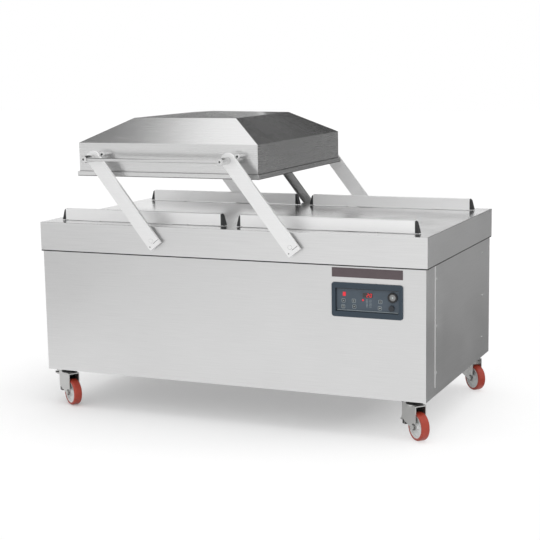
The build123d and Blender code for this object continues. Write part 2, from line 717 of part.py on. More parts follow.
def lid_screws():
    """Socket screws in the handle's posts, stop bolts beside the front pivots, washers on the rear pins."""
    pieces = []
    face = front_y - handle_face
    for x in arm_x.values():
        pin_x = x - arm_run
        screw = pin_y(pin_x, lid_pivot_z, face + 1, face + handle_screw[1], handle_screw[0])
        socket = hexagon_pin_y(pin_x, lid_pivot_z, face, face + handle_screw_socket[1],
                               2 * handle_screw_socket[0])
        pieces.append(screw - socket)
        stop_x, stop_z = pin_x + stop_at[0], lid_pivot_z + stop_at[1]
        head = front_arm_y[1] + stop_gap
        stop = pin_y(stop_x, stop_z, head, head + stop_head, stop_head_radius)
        stop += pin_y(stop_x, stop_z, head + stop_head, lid_front, stop_shank_radius)
        pieces.append(stop - hexagon_pin_y(stop_x, stop_z, head - 1, head + stop_socket[1],
                                           2 * stop_socket[0]))
        washer = rear_arm_y[1] + pin_shoulder_gap
        pieces.append(pin_y(pin_x, lid_pivot_z, washer, washer + pin_washer[1], pin_washer[0]))
    end = back_y + arm_gap + channel_depth + pin_cap_gap
    pieces.append(pin_y(channel_x - arm_run, lid_pivot_z, end, end + pin_cap, channel_boss_radius))
    return Compound(pieces)


# ---- Inside the cabinet --------------------------------------------------------------------------


def vacuum_pump():
    """Rotary vane pump with its motor and exhaust box, on two feet."""
    x0 = pump_rail_x[0] - tube / 2
    z0 = rail_top + pump_foot
    width, body_depth, height = pump_body
    box_depth, box_height = pump_exhaust[1:]
    body = hollow_block(x0, x0 + width, lid_y - body_depth / 2, lid_y + body_depth / 2, z0, z0 + height,
                        pump_wall)
    motor = Cylinder(pump_motor_radius, pump_motor_length)
    motor -= Cylinder(pump_motor_radius - pump_motor_wall, pump_motor_length - 2 * pump_motor_wall)
    body += Pos(x0 + width + pump_motor_length / 2, lid_y, z0 + height / 2) * Rot(0, 90, 0) * motor
    body += hollow_block(x0 - pump_exhaust[0], x0, lid_y - box_depth / 2, lid_y + box_depth / 2,
                         z0, z0 + box_height, pump_exhaust_wall)
    body += pin_z(x0 + width / 2, lid_y, z0 + height, z0 + height + pump_inlet_height, pump_inlet_radius)
    for x in (pump_rail_x[0], pump_rail_x[1]):
        low_y, high_y = lid_y - body_depth / 3, lid_y + body_depth / 3
        top = z0 if x < x0 + width else z0 + height / 2 - pump_motor_radius + pump_wall
        body += block(x - tube / 2, x + tube / 2, low_y, high_y, rail_top, top)
    return body


def valve_body():
    """Valve block that hangs from the middle rail under the worktop."""
    x, y, z = valve_block
    return block(-x / 2, x / 2, lid_y - y / 2, lid_y + y / 2, top_rail_under - z, top_rail_under)


def swept_hose(points, radius, bend):
    path = FilletPolyline(*points, radius=bend)
    start = Plane(origin=points[0], z_dir=path % 0)
    return sweep(start * Circle(radius), path)


def vacuum_hoses():
    """Pump to valve block, and valve block to the port of each chamber."""
    inlet_x = pump_rail_x[0] - tube / 2 + pump_body[0] / 2
    inlet_z = rail_top + pump_foot + pump_body[2] + pump_inlet_height
    main = swept_hose([(inlet_x, lid_y, inlet_z), (inlet_x, lid_y, hose_z),
                       (-valve_block[0] / 2, lid_y, hose_z)], hose_radius, hose_bend)
    hoses = [main]
    port_y = back_y - vacuum_port_inset
    for side in (-1, 1):
        start = (side * valve_block[0] / 4, lid_y + valve_block[1] / 2, hose_z)
        corner = (side * valve_block[0] / 4, port_y - vacuum_port_x, hose_z)
        end = (side * vacuum_port_x, port_y, hose_z)
        top = (side * vacuum_port_x, port_y, deck_under)
        hoses.append(swept_hose([start, corner, end, top], port_hose_radius, port_hose_bend))
    return Compound(hoses)


def sealing_transformer():
    x, y, z = transformer
    left, front = transformer_at[0], frame_front + transformer_at[1]
    return block(left, left + x, front, front + y, floor_top, floor_top + z)


def switch_box():
    x, y, z = electrical_box
    middle = sum(box_rail_x) / 2
    front = panel_front + bezel_box[2] + electrical_box_gap
    return hollow_block(middle - x / 2, middle + x / 2, front, front + y, rail_top, rail_top + z, sheet)


def power_inlet():
    """Cable gland in the rear panel."""
    x, z = gland_x, gland_height
    body = pin_y(x, z, panel_back - sheet - gland_length / 3, panel_back, gland_radius / 2 - running_gap)
    nut = hexagon_pin_y(x, z, panel_back, panel_back + gland_length / 3, 2 * gland_radius)
    dome = pin_y(x, z, panel_back + gland_length / 3, panel_back + gland_length, gland_radius * 0.8)
    dome = fillet(dome.faces().sort_by(Axis.Y)[-1].edges(), gland_radius * 0.3)
    return body + nut + dome


# ---- Castors -------------------------------------------------------------------------------------


def castor_at(corner):
    """Place of a castor: origin on the floor under its swivel axis, +X towards its wheel."""
    x = (half - castor_inset_x) * (1 if "right" in corner else -1)
    y = back_y - castor_inset_y if "rear" in corner else front_y + castor_inset_y
    return Pos(x, y, 0) * Rot(0, 0, trail_angles[corner])


def castor_plates():
    """Top plates with their bolts, ball race and kingpin."""
    plates = []
    for corner in trail_angles:
        place = castor_at(corner).position
        width, plate_depth, thick = castor_plate
        piece = Pos(0, 0, body_bottom - thick / 2) * Box(width, plate_depth, thick)
        piece += pin_z(0, 0, race_z + seat_gap, body_bottom - thick, swivel_race_radius)
        piece += pin_z(0, 0, crown_z - 3 * seat_gap, body_bottom - thick, kingpin_radius)
        for sx in (-1, 1):
            for sy in (-1, 1):
                bolt_x, bolt_y = sx * castor_bolt_spacing[0] / 2, sy * castor_bolt_spacing[1] / 2
                low = body_bottom - 2 * thick
                piece += pin_z(bolt_x, bolt_y, low, body_bottom - thick, 1.6 * castor_bolt_radius)
        plates.append(Pos(place.X, place.Y, 0) * piece)
    return Compound(plates)


def castor_fork(corner):
    """Pressed fork with two legs, and the axle bolt that it holds."""
    inner = fork_leg_gap / 2
    outer = inner + fork_leg_thickness
    crown_top = crown_z + fork_bridge
    pedal_z = crown_z - pedal_drop
    points = [(-fork_front, crown_top), (-fork_front, axle_z + fork_leg_drop),
              (wheel_trail, axle_z - fork_foot_radius), (wheel_trail + fork_foot_radius, axle_z),
              (fork_back, axle_z + fork_leg_drop), (fork_back, crown_top)]
    outline = make_face(Polyline(*points, close=True)) + Pos(wheel_trail, axle_z) * Circle(fork_foot_radius)
    leg = extrude(Plane.XZ * outline, fork_leg_thickness)
    fork = Pos(0, -inner, 0) * leg + Pos(0, outer, 0) * leg
    fork += block(-fork_crown_radius, fork_back, -outer, outer, crown_z, crown_top)
    fork += pin_z(0, 0, crown_z, race_z, fork_crown_radius)
    fork += pin_z(0, 0, crown_z - fork_neck[1], crown_z, fork_neck[0])
    fork -= pin_z(0, 0, crown_z - 1, race_z + 1, kingpin_radius + running_gap)
    fork -= pin_y(wheel_trail, axle_z, -outer - 1, outer + 1, axle_radius + running_gap)
    fork -= pin_y(-fork_front + pedal_barrel_radius, pedal_z, -outer - 1, outer + 1,
                  pedal_pin_radius + running_gap)
    axle = pin_y(wheel_trail, axle_z, -outer - axle_head, outer + axle_head, axle_radius)
    for y0 in (-outer - axle_head, outer):
        axle += hexagon_pin_y(wheel_trail, axle_z, y0, y0 + axle_head, 2 * axle_head_radius)
    solids = [fork, axle]
    if "front" in corner:
        back = -brake_strap_front + brake_strap
        solids[0] += block(-brake_strap_front, back, -inner, inner, brake_shoe_z, crown_z)
        solids.append(block(-brake_strap_front - brake_shoe[0], -brake_strap_front, seat_gap - inner,
                            inner - seat_gap, brake_shoe_z, brake_shoe_z + brake_shoe[1]))
    return castor_at(corner) * Compound(solids)


def wheel_hub(corner):
    """Wheel centre with a rim, a thin web and a boss."""
    rim = wheel_radius - tyre_thickness
    width = wheel_width - tyre_edge_round / 2
    hub = pin_y(wheel_trail, axle_z, -width / 2, width / 2, rim - running_gap)
    hollow_depth = (width - hub_web) / 2
    for side in (-1, 1):
        y0, y1 = sorted((side * width / 2, side * (width / 2 - hollow_depth)))
        ring = pin_y(wheel_trail, axle_z, y0, y1, rim - hub_boss_radius / 3)
        hub -= ring - pin_y(wheel_trail, axle_z, y0, y1, hub_boss_radius)
    hub += pin_y(wheel_trail, axle_z, -hub_boss_width / 2, hub_boss_width / 2, hub_boss_radius)
    hub -= pin_y(wheel_trail, axle_z, -hub_boss_width, hub_boss_width, axle_radius + running_gap)
    return castor_at(corner) * hub


def wheel_tyre(corner):
    tyre = pin_y(wheel_trail, axle_z, -wheel_width / 2, wheel_width / 2, wheel_radius)
    rims = tyre.edges().filter_by(GeomType.CIRCLE)
    tyre = fillet(rims, tyre_edge_round)
    bore = pin_y(wheel_trail, axle_z, -wheel_width, wheel_width, wheel_radius - tyre_thickness)
    return castor_at(corner) * (tyre - bore)


def brake_pedal(corner):
    """Foot pedal on a pin between the ears of the fork."""
    x, z = -fork_front + pedal_barrel_radius, crown_z - pedal_drop
    inside = fork_leg_gap / 2 - 1
    outer = fork_leg_gap / 2 + fork_leg_thickness
    pedal = pin_y(0, 0, -inside, inside, pedal_barrel_radius - 1)
    pedal += pin_y(0, 0, -outer, outer, pedal_pin_radius)
    pedal += block(-pedal_length, 0, -inside, inside, -pedal_thickness / 2, pedal_thickness / 2)
    lip = 2 * pedal_thickness
    pedal += block(-pedal_length, pedal_thickness - pedal_length, -inside, inside, 0, lip)
    pressed = -pedal_swing if corner in pressed_pedals else 0.0
    return castor_at(corner) * Pos(x, 0, z) * Rot(0, pressed, 0) * pedal


def all_parts():
    """Every node of the machine, by name."""
    parts = {
        "frame": frame(), "floor_pan": floor_pan(), "front_panel": front_panel(),
        "rear_panel": rear_panel(), "side_panel_left": side_panel(-1), "side_panel_right": side_panel(1),
        "panel_screws": panel_screws(), "worktop": worktop(), "lift_cylinders": lift_cylinders(),
        "panel_bezel": panel_bezel(), "control_plate": control_plate(),
        "display_window": display_window(), "gauge_housing": gauge_housing(),
        "gauge_dial": gauge_dial(), "power_button": power_button(), "name_plate": blank_name_plate(),
        "pivot_bearings": pivot_bearings(), "vacuum_pump": vacuum_pump(), "valve_block": valve_body(),
        "vacuum_hoses": vacuum_hoses(), "transformer": sealing_transformer(),
        "electrical_box": switch_box(), "power_inlet": power_inlet(), "castor_plates": castor_plates(),
        "channel_arm": channel_arm(), "lid_shell": lid_shell(), "lid_gasket": lid_gasket(),
        "counter_bars": counter_bars(), "silicone_strips": silicone_strips(),
        "lid_pivots": lid_pivots(), "lid_handle": handle(), "lid_screws": lid_screws(),
    }
    for side in arm_x:
        parts[f"front_arm_{side}"] = arm(side, front_arm_y, -1)
        parts[f"rear_arm_{side}"] = arm(side, rear_arm_y, 1)
        parts[f"arm_shaft_{side}"] = arm_shaft(side)
        for row in bar_y:
            parts[f"seal_bar_{side}_{row}"] = seal_bar(side, row)
            parts[f"seal_bar_ends_{side}_{row}"] = seal_bar_ends(side, row)
    for corner in trail_angles:
        parts[f"castor_fork_{corner}"] = castor_fork(corner)
        parts[f"wheel_hub_{corner}"] = wheel_hub(corner)
        parts[f"wheel_tyre_{corner}"] = wheel_tyre(corner)
        if "front" in corner:
            parts[f"brake_pedal_{corner}"] = brake_pedal(corner)
    return parts


def main():
    os.makedirs("parts", exist_ok=True)
    for name, shape in all_parts().items():
        export_step(shape, f"parts/{name}.step")


if __name__ == "__main__":
    main()
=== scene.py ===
import json
import math

import bmesh
import bpy
from mathutils import Matrix, Vector


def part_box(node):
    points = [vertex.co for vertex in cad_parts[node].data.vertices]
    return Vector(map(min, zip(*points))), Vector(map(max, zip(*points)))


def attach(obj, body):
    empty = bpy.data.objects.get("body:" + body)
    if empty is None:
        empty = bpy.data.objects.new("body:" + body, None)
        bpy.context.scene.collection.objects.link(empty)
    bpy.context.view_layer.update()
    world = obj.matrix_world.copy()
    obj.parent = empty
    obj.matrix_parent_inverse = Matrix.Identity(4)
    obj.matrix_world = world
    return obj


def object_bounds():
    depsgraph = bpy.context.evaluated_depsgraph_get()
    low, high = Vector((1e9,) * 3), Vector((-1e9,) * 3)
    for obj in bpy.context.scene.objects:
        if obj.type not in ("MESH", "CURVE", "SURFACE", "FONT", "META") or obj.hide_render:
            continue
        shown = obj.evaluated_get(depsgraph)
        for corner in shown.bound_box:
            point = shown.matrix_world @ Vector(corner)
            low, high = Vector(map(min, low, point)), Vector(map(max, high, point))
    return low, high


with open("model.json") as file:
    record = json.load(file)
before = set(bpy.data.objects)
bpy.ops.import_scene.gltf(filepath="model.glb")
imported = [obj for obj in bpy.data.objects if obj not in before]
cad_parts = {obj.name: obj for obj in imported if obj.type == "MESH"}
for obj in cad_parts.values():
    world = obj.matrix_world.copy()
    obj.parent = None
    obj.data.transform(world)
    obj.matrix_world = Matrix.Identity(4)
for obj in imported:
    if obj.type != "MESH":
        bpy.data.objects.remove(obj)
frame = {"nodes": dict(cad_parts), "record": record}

# Dressing of a double-chamber vacuum packing machine: steel, plastic and rubber finishes, the
# printing on the control plate, and the studio it stands in. Metres, in the machine's own frame.

cad_low, cad_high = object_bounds()
nodes = frame["nodes"]
front_low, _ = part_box("front_panel")
top_low, top_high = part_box("worktop")
machine_front = top_low.y


# ---- Shader building -----------------------------------------------------------------------------


def sockets_of(group, kind, names):
    """Adds named sockets to a shader group; names maps each to its type and default."""
    for name, (socket_type, default) in names.items():
        socket = group.interface.new_socket(name, in_out=kind, socket_type=socket_type)
        if default is not None:
            socket.default_value = default


def new_group(name, inputs, outputs):
    group = bpy.data.node_groups.new(name, "ShaderNodeTree")
    sockets_of(group, "INPUT", inputs)
    sockets_of(group, "OUTPUT", outputs)
    tree = Tree(group)
    tree.entry = group.nodes.new("NodeGroupInput")
    tree.exit = group.nodes.new("NodeGroupOutput")
    return group, tree


class Tree:
    """Short calls for making and joining shader nodes."""

    def __init__(self, owner):
        self.owner = owner

    def node(self, kind, **settings):
        made = self.owner.nodes.new(kind)
        for key, value in settings.items():
            setattr(made, key, value)
        return made

    def feed(self, socket, value):
        if isinstance(value, bpy.types.NodeSocket):
            self.owner.links.new(value, socket)
        elif value is not None:
            socket.default_value = value

    def maths(self, operation, a, b=None, c=None, clamp=False):
        made = self.node("ShaderNodeMath", operation=operation, use_clamp=clamp)
        for socket, value in zip(made.inputs, (a, b, c)):
            self.feed(socket, value)
        return made.outputs[0]

    def vector_maths(self, operation, a, b=None):
        made = self.node("ShaderNodeVectorMath", operation=operation)
        self.feed(made.inputs[0], a)
        self.feed(made.inputs[1], b)
        return made.outputs["Value" if operation == "DOT_PRODUCT" else "Vector"]

    def noise(self, vector, scale, detail=3.0, roughness=0.5):
        made = self.node("ShaderNodeTexNoise")
        self.feed(made.inputs["Vector"], vector)
        self.feed(made.inputs["Scale"], scale)
        self.feed(made.inputs["Detail"], detail)
        self.feed(made.inputs["Roughness"], roughness)
        return made.outputs["Fac"]

    def blend(self, factor, a, b):
        """Colour between a and b."""
        made = self.node("ShaderNodeMix", data_type="RGBA")
        self.feed(made.inputs[0], factor)
        self.feed(made.inputs[6], a)
        self.feed(made.inputs[7], b)
        return made.outputs[2]

    def remap(self, value, low, high, new_low, new_high):
        made = self.node("ShaderNodeMapRange", clamp=True)
        for socket, number in zip(made.inputs, (value, low, high, new_low, new_high)):
            self.feed(socket, number)
        return made.outputs[0]

    def bump(self, height, strength, distance):
        made = self.node("ShaderNodeBump")
        self.feed(made.inputs["Strength"], strength)
        self.feed(made.inputs["Distance"], distance)
        self.feed(made.inputs["Height"], height)
        return made.outputs["Normal"]

    def place(self, group, **values):
        made = self.node("ShaderNodeGroup", node_tree=group)
        for key, value in values.items():
            self.feed(made.inputs[key.replace("_", " ")], value)
        return made.outputs


def make_brushed_grain():
    """Fine parallel lines that run along X, or along Y on faces that look left or right."""
    group, tree = new_group(
        "Brushed grain",
        {"Fineness": ("NodeSocketFloat", 900.0), "Length": ("NodeSocketFloat", 6.0),
         "Depth": ("NodeSocketFloat", 0.1)},
        {"Lines": ("NodeSocketFloat", None), "Smudges": ("NodeSocketFloat", None),
         "Normal": ("NodeSocketVector", None)})
    place = tree.node("ShaderNodeTexCoord").outputs["Object"]
    facing = tree.node("ShaderNodeSeparateXYZ")
    tree.feed(facing.inputs[0], tree.node("ShaderNodeNewGeometry").outputs["True Normal"])
    sideways = tree.maths("GREATER_THAN", tree.maths("ABSOLUTE", facing.outputs[0]), 0.75)
    fineness, length = tree.entry.outputs["Fineness"], tree.entry.outputs["Length"]
    along_x = tree.node("ShaderNodeCombineXYZ")
    along_y = tree.node("ShaderNodeCombineXYZ")
    scales = ((length, fineness), (fineness, length), (fineness, fineness))
    for index, (first, second) in enumerate(scales):
        tree.feed(along_x.inputs[index], first)
        tree.feed(along_y.inputs[index], second)
    stretch = tree.node("ShaderNodeMix", data_type="VECTOR")
    tree.feed(stretch.inputs[0], sideways)
    tree.feed(stretch.inputs[4], along_x.outputs[0])
    tree.feed(stretch.inputs[5], along_y.outputs[0])
    lines = tree.noise(tree.vector_maths("MULTIPLY", place, stretch.outputs[1]), 1.0, 2.0, 0.6)
    smudges = tree.noise(place, 3.5, 4.0, 0.55)
    tree.feed(tree.exit.inputs["Lines"], lines)
    tree.feed(tree.exit.inputs["Smudges"], smudges)
    tree.feed(tree.exit.inputs["Normal"], tree.bump(lines, tree.entry.outputs["Depth"], 0.0004))
    return group


def make_edge_highlight():
    """Mask that is 1 along the edges of a piece, where painted highlights go."""
    group, tree = new_group(
        "Edge highlight",
        {"Radius": ("NodeSocketFloat", 0.002), "Spread": ("NodeSocketFloat", 0.12)},
        {"Edge": ("NodeSocketFloat", None)})
    rounded = tree.node("ShaderNodeBevel", samples=4)
    tree.feed(rounded.inputs["Radius"], tree.entry.outputs["Radius"])
    flat = tree.node("ShaderNodeNewGeometry").outputs["Normal"]
    bend = tree.maths("SUBTRACT", 1.0, tree.vector_maths("DOT_PRODUCT", rounded.outputs[0], flat))
    place = tree.node("ShaderNodeTexCoord").outputs["Object"]
    broken = tree.remap(tree.noise(place, 60.0, 4.0, 0.6), 0.3, 0.6, 0.45, 1.0)
    edge = tree.remap(bend, 0.0, tree.entry.outputs["Spread"], 0.0, 1.0)
    tree.feed(tree.exit.inputs["Edge"], tree.maths("MULTIPLY", edge, broken, clamp=True))
    return group


def make_crease_shade():
    """Mask that is 1 down in slits, sockets and inside corners of a piece, where painted shade goes."""
    group, tree = new_group(
        "Crease shade",
        {"Reach": ("NodeSocketFloat", 0.006), "Start": ("NodeSocketFloat", 0.8),
         "Full": ("NodeSocketFloat", 0.5)},
        {"Crease": ("NodeSocketFloat", None)})
    openness = tree.node("ShaderNodeAmbientOcclusion", samples=8, only_local=True)
    tree.feed(openness.inputs["Distance"], tree.entry.outputs["Reach"])
    start, full = tree.entry.outputs["Start"], tree.entry.outputs["Full"]
    crease = tree.remap(openness.outputs["AO"], start, full, 0.0, 1.0)
    tree.feed(tree.exit.inputs["Crease"], crease)
    return group


def make_castor_zones():
    """Masks on a castor's fork: its upper race and its inside, darkened with painted shade, its brake
    block, and a ring of painted shade round its nut.

    Along points from the swivel axis to the wheel, Across along the axle; both start at Swivel.
    """
    vector = ("NodeSocketVector", None)
    group, tree = new_group(
        "Castor zones", {"Swivel": vector, "Along": vector, "Across": vector},
        {"Shaded": ("NodeSocketFloat", None), "Block": ("NodeSocketFloat", None),
         "Ring": ("NodeSocketFloat", None)})
    place = tree.node("ShaderNodeTexCoord").outputs["Object"]
    offset = tree.vector_maths("SUBTRACT", place, tree.entry.outputs["Swivel"])
    along = tree.vector_maths("DOT_PRODUCT", offset, tree.entry.outputs["Along"])
    across = tree.vector_maths("DOT_PRODUCT", offset, tree.entry.outputs["Across"])
    split = tree.node("ShaderNodeSeparateXYZ")
    tree.feed(split.inputs[0], offset)
    up = split.outputs[2]

    def above(value, level):
        return tree.remap(value, level - 0.0002, level + 0.0002, 0.0, 1.0)

    def below(value, level):
        return tree.remap(value, level - 0.0002, level + 0.0002, 1.0, 0.0)

    race = above(up, FORK_TOP)
    inside = tree.maths("MULTIPLY", below(tree.maths("ABSOLUTE", across), FORK_INSIDE), below(up, 0.0004))
    tree.feed(tree.exit.inputs["Shaded"], tree.maths("MAXIMUM", race, inside))
    block = tree.maths("MULTIPLY", below(along, BRAKE_BLOCK[0]), below(up, BRAKE_BLOCK[1]))
    tree.feed(tree.exit.inputs["Block"], block)
    ahead = tree.maths("SUBTRACT", along, WHEEL_TRAIL)
    drop = tree.maths("SUBTRACT", up, AXLE_LEVEL)
    squared = tree.maths("ADD", tree.maths("MULTIPLY", ahead, ahead), tree.maths("MULTIPLY", drop, drop))
    radius = tree.maths("SQRT", squared)
    ring = tree.maths("MULTIPLY", above(radius, NUT_RING[0]), below(radius, NUT_RING[1]))
    tree.feed(tree.exit.inputs["Ring"], ring)
    return group


def make_fine_grain():
    """Even grain of moulded, cast or rubber surfaces."""
    group, tree = new_group(
        "Fine grain",
        {"Scale": ("NodeSocketFloat", 400.0), "Depth": ("NodeSocketFloat", 0.2)},
        {"Grain": ("NodeSocketFloat", None), "Blotches": ("NodeSocketFloat", None),
         "Normal": ("NodeSocketVector", None)})
    place = tree.node("ShaderNodeTexCoord").outputs["Object"]
    grain = tree.noise(place, tree.entry.outputs["Scale"], 3.0, 0.6)
    blotches = tree.noise(place, 18.0, 3.0, 0.5)
    tree.feed(tree.exit.inputs["Grain"], grain)
    tree.feed(tree.exit.inputs["Blotches"], blotches)
    tree.feed(tree.exit.inputs["Normal"], tree.bump(grain, tree.entry.outputs["Depth"], 0.0005))
    return group


FORK_TOP = 0.0054                 # of a castor's fork, above its swivel joint
FORK_INSIDE = 0.0232              # half the room between its legs
BRAKE_BLOCK = (-0.0438, -0.0745)  # behind which the brake block lies, and under which
WHEEL_TRAIL = 0.038
AXLE_LEVEL = -0.0885
NUT_RING = (0.0106, 0.0150)

brushed_grain = make_brushed_grain()
edge_highlight = make_edge_highlight()
crease_shade = make_crease_shade()
castor_zones = make_castor_zones()
fine_grain = make_fine_grain()


def new_material(name):
    material = bpy.data.materials.new(name)
    material.use_nodes = True
    return material, Tree(material.node_tree), material.node_tree.nodes["Principled BSDF"]


def grey(level):
    return (level, level, level, 1.0)


def brushed_steel(name, dark, light, roughness, fineness=900.0, depth=0.1, metallic=0.9, edge=0.25,
                  tint=(1.0, 1.0, 1.0), brushing=0.5, polished_top=0.0, crease=0.0, crease_reach=0.006,
                  patchy=0.08, upright=1.0):
    """Brushed metal between two greys, with painted highlights along its edges and faint smudges.

    polished_top is how much smoother the faces are that look up, crease how dark the painted shade in
    the inside corners gets within crease_reach, patchy how far the smudges change the roughness, and
    upright how bright the upright faces are next to the others, a painted shade on the sides.
    """
    material, tree, shader = new_material(name)
    grain = tree.place(brushed_grain, Fineness=fineness, Length=fineness / 150.0, Depth=depth)
    edge_lit = tree.place(edge_highlight, Radius=0.0025)
    low = (dark * tint[0], dark * tint[1], dark * tint[2], 1.0)
    high = (light * tint[0], light * tint[1], light * tint[2], 1.0)
    colour = tree.blend(tree.remap(grain["Lines"], 0.3, 0.7, 0.0, 1.0), low, high)
    # painted highlight: the edges are lightened towards a brighter grey
    bright = min(1.0, light + edge)
    colour = tree.blend(tree.maths("MULTIPLY", edge_lit["Edge"], 0.7), colour, grey(bright))
    if upright < 1.0 or polished_top:
        facing = tree.node("ShaderNodeSeparateXYZ")
        tree.feed(facing.inputs[0], tree.node("ShaderNodeNewGeometry").outputs["True Normal"])
    # painted shade: upright faces are made darker than the faces that look up or down
    if upright < 1.0:
        level = tree.maths("ABSOLUTE", facing.outputs[2])
        side_shaded = tree.node("ShaderNodeVectorMath", operation="SCALE")
        tree.feed(side_shaded.inputs[0], colour)
        tree.feed(side_shaded.inputs["Scale"], tree.remap(level, 0.1, 0.3, upright, 1.0))
        colour = side_shaded.outputs[0]
    # painted shade: inside corners, slits and sockets are darkened towards near black
    if crease:
        dim = tree.place(crease_shade, Reach=crease_reach)
        colour = tree.blend(tree.maths("MULTIPLY", dim["Crease"], crease), colour, grey(0.012))
    tree.feed(shader.inputs["Base Color"], colour)
    smudged = tree.remap(grain["Smudges"], 0.3, 0.7, roughness - 0.4 * patchy, roughness + 0.6 * patchy)
    lined = tree.maths("MULTIPLY", tree.maths("SUBTRACT", grain["Lines"], 0.5), 0.1)
    rough = tree.maths("ADD", smudged, lined)
    if polished_top:
        rough = tree.maths("SUBTRACT", rough, tree.remap(facing.outputs[2], 0.3, 0.8, 0.0, polished_top))
    tree.feed(shader.inputs["Roughness"], tree.maths("MAXIMUM", rough, 0.03))
    tree.feed(shader.inputs["Normal"], grain["Normal"])
    shader.inputs["Metallic"].default_value = metallic
    shader.inputs["Anisotropic"].default_value = brushing
    return material


def grained(name, dark, light, roughness, scale=400.0, depth=0.2, metallic=0.0, edge=None, coat=0.0,
            specular=0.5):
    """Moulded, cast, painted or rubber surface between two colours, with a painted highlight in the colour
    edge along its edges when edge is given.
    """
    material, tree, shader = new_material(name)
    grain = tree.place(fine_grain, Scale=scale, Depth=depth)
    edge_lit = tree.place(edge_highlight, Radius=0.0015)
    mixed = tree.maths("ADD", tree.maths("MULTIPLY", grain["Grain"], 0.5),
                       tree.maths("MULTIPLY", grain["Blotches"], 0.5))
    colour = tree.blend(tree.remap(mixed, 0.35, 0.65, 0.0, 1.0), (*dark, 1.0), (*light, 1.0))
    # painted highlight: the edges take the colour edge
    if edge:
        colour = tree.blend(edge_lit["Edge"], colour, (*edge, 1.0))
    tree.feed(shader.inputs["Base Color"], colour)
    tree.feed(shader.inputs["Roughness"],
              tree.remap(grain["Blotches"], 0.3, 0.7, roughness - 0.05, roughness + 0.07))
    tree.feed(shader.inputs["Normal"], grain["Normal"])
    shader.inputs["Metallic"].default_value = metallic
    shader.inputs["Coat Weight"].default_value = coat
    shader.inputs["Specular IOR Level"].default_value = specular
    return material


def castor_finish(corner):
    """Bright zinc fork with a black brake block, a race of dark steel deepened by painted shade, painted
    shade on its inside, and a ring of painted shade round the axle nut.
    """
    fork = nodes[f"castor_fork_{corner}"]
    joints = {joint["name"]: joint for joint in frame["record"]["behaviour"]["joints"]}
    to_mesh = fork.matrix_world.inverted()
    turn = to_mesh.to_3x3()
    swivel = Vector(joints[f"castor_{corner}_swivel"]["pos_m"])
    across = Vector(joints[f"wheel_{corner}_roll"]["axis"]).normalized()
    along = Vector((0, 0, 1)).cross(across)
    if (Vector(joints[f"wheel_{corner}_roll"]["pos_m"]) - swivel).dot(along) < 0:
        along = -along
    material, tree, shader = new_material(f"Castor zinc {corner.replace('_', ' ')}")
    grain = tree.place(brushed_grain, Fineness=300.0, Length=2.0, Depth=0.08)
    edge_lit = tree.place(edge_highlight, Radius=0.0012)
    zones = tree.place(castor_zones, Swivel=to_mesh @ swivel, Along=turn @ along, Across=turn @ across)
    zinc = tree.blend(tree.remap(grain["Smudges"], 0.3, 0.7, 0.0, 1.0), (0.50, 0.50, 0.49, 1.0),
                      (0.56, 0.56, 0.55, 1.0))
    # painted highlight: the fork's edges are lightened
    zinc = tree.blend(tree.maths("MULTIPLY", edge_lit["Edge"], 0.6), zinc, grey(0.75))
    # painted shade: a dark ring round the axle nut
    zinc = tree.blend(zones["Ring"], zinc, grey(0.10))
    # painted shade over the race and the inside of the fork; the race is dark steel as well
    zinc = tree.blend(zones["Shaded"], zinc, grey(0.022))
    tree.feed(shader.inputs["Base Color"], tree.blend(zones["Block"], zinc, grey(0.015)))
    tree.feed(shader.inputs["Roughness"], tree.remap(grain["Smudges"], 0.3, 0.7, 0.3, 0.38))
    bare_metal = tree.maths("SUBTRACT", 0.85, tree.maths("MULTIPLY", zones["Block"], 0.85))
    tree.feed(shader.inputs["Metallic"], bare_metal)
    tree.feed(shader.inputs["Normal"], grain["Normal"])
    return material


def wear(material, *names):
    """Gives CAD nodes their finish."""
    for name in names:
        mesh = nodes[name].data
        mesh.materials.clear()
        mesh.materials.append(material)


sides = ("left", "right")
rows = ("front", "rear")
corners = ("front_left", "front_right", "rear_left", "rear_right")

cabinet_steel = brushed_steel("Cabinet steel", 0.66, 0.72, 0.40, depth=0.05, metallic=1.0, edge=0.12)
worktop_steel = brushed_steel("Worktop steel", 0.70, 0.76, 0.38, depth=0.04, metallic=1.0, edge=0.12,
                              polished_top=0.16)
lid_steel = brushed_steel("Lid steel", 0.83, 0.89, 0.26, depth=0.05, metallic=1.0, edge=0.3, crease=0.75,
                          crease_reach=0.012, patchy=0.02, upright=0.83)
arm_steel = brushed_steel("Arm steel", 0.88, 0.93, 0.45, depth=0.04, metallic=0.7, crease=1.0,
                          crease_reach=0.004)
turned_steel = brushed_steel("Turned steel", 0.62, 0.78, 0.25, fineness=1500.0)
screw_steel = brushed_steel("Screw steel", 0.72, 0.82, 0.3, crease=1.0, crease_reach=0.008)
# for the castor plates: dark steel made darker still as painted shade, where they sit under the cabinet
dark_steel = brushed_steel("Dark steel with painted shade", 0.02, 0.035, 0.45, metallic=0.6, edge=0.05)
frame_steel = brushed_steel("Frame steel", 0.35, 0.45, 0.45)
machined_steel = brushed_steel("Machined steel", 0.5, 0.62, 0.3)
handle_chrome = brushed_steel("Handle chrome", 0.6, 0.66, 0.14, depth=0.01, metallic=1.0, crease=0.8)
bar_metal = brushed_steel("Sealing bar metal", 0.93, 0.96, 0.36, metallic=0.75, edge=0.03)
zinc_plate = brushed_steel("Zinc plate", 0.48, 0.56, 0.34, fineness=300.0, metallic=0.85, tint=(1, 1, 0.98))
dial_metal = brushed_steel("Dial metal", 0.24, 0.32, 0.35, metallic=0.5, edge=0.1)
block_metal = brushed_steel("Valve block metal", 0.5, 0.6, 0.4)
bezel_plastic = grained("Bezel plastic", (0.023, 0.041, 0.06), (0.030, 0.050, 0.072), 0.42,
                        edge=(0.1, 0.14, 0.18))
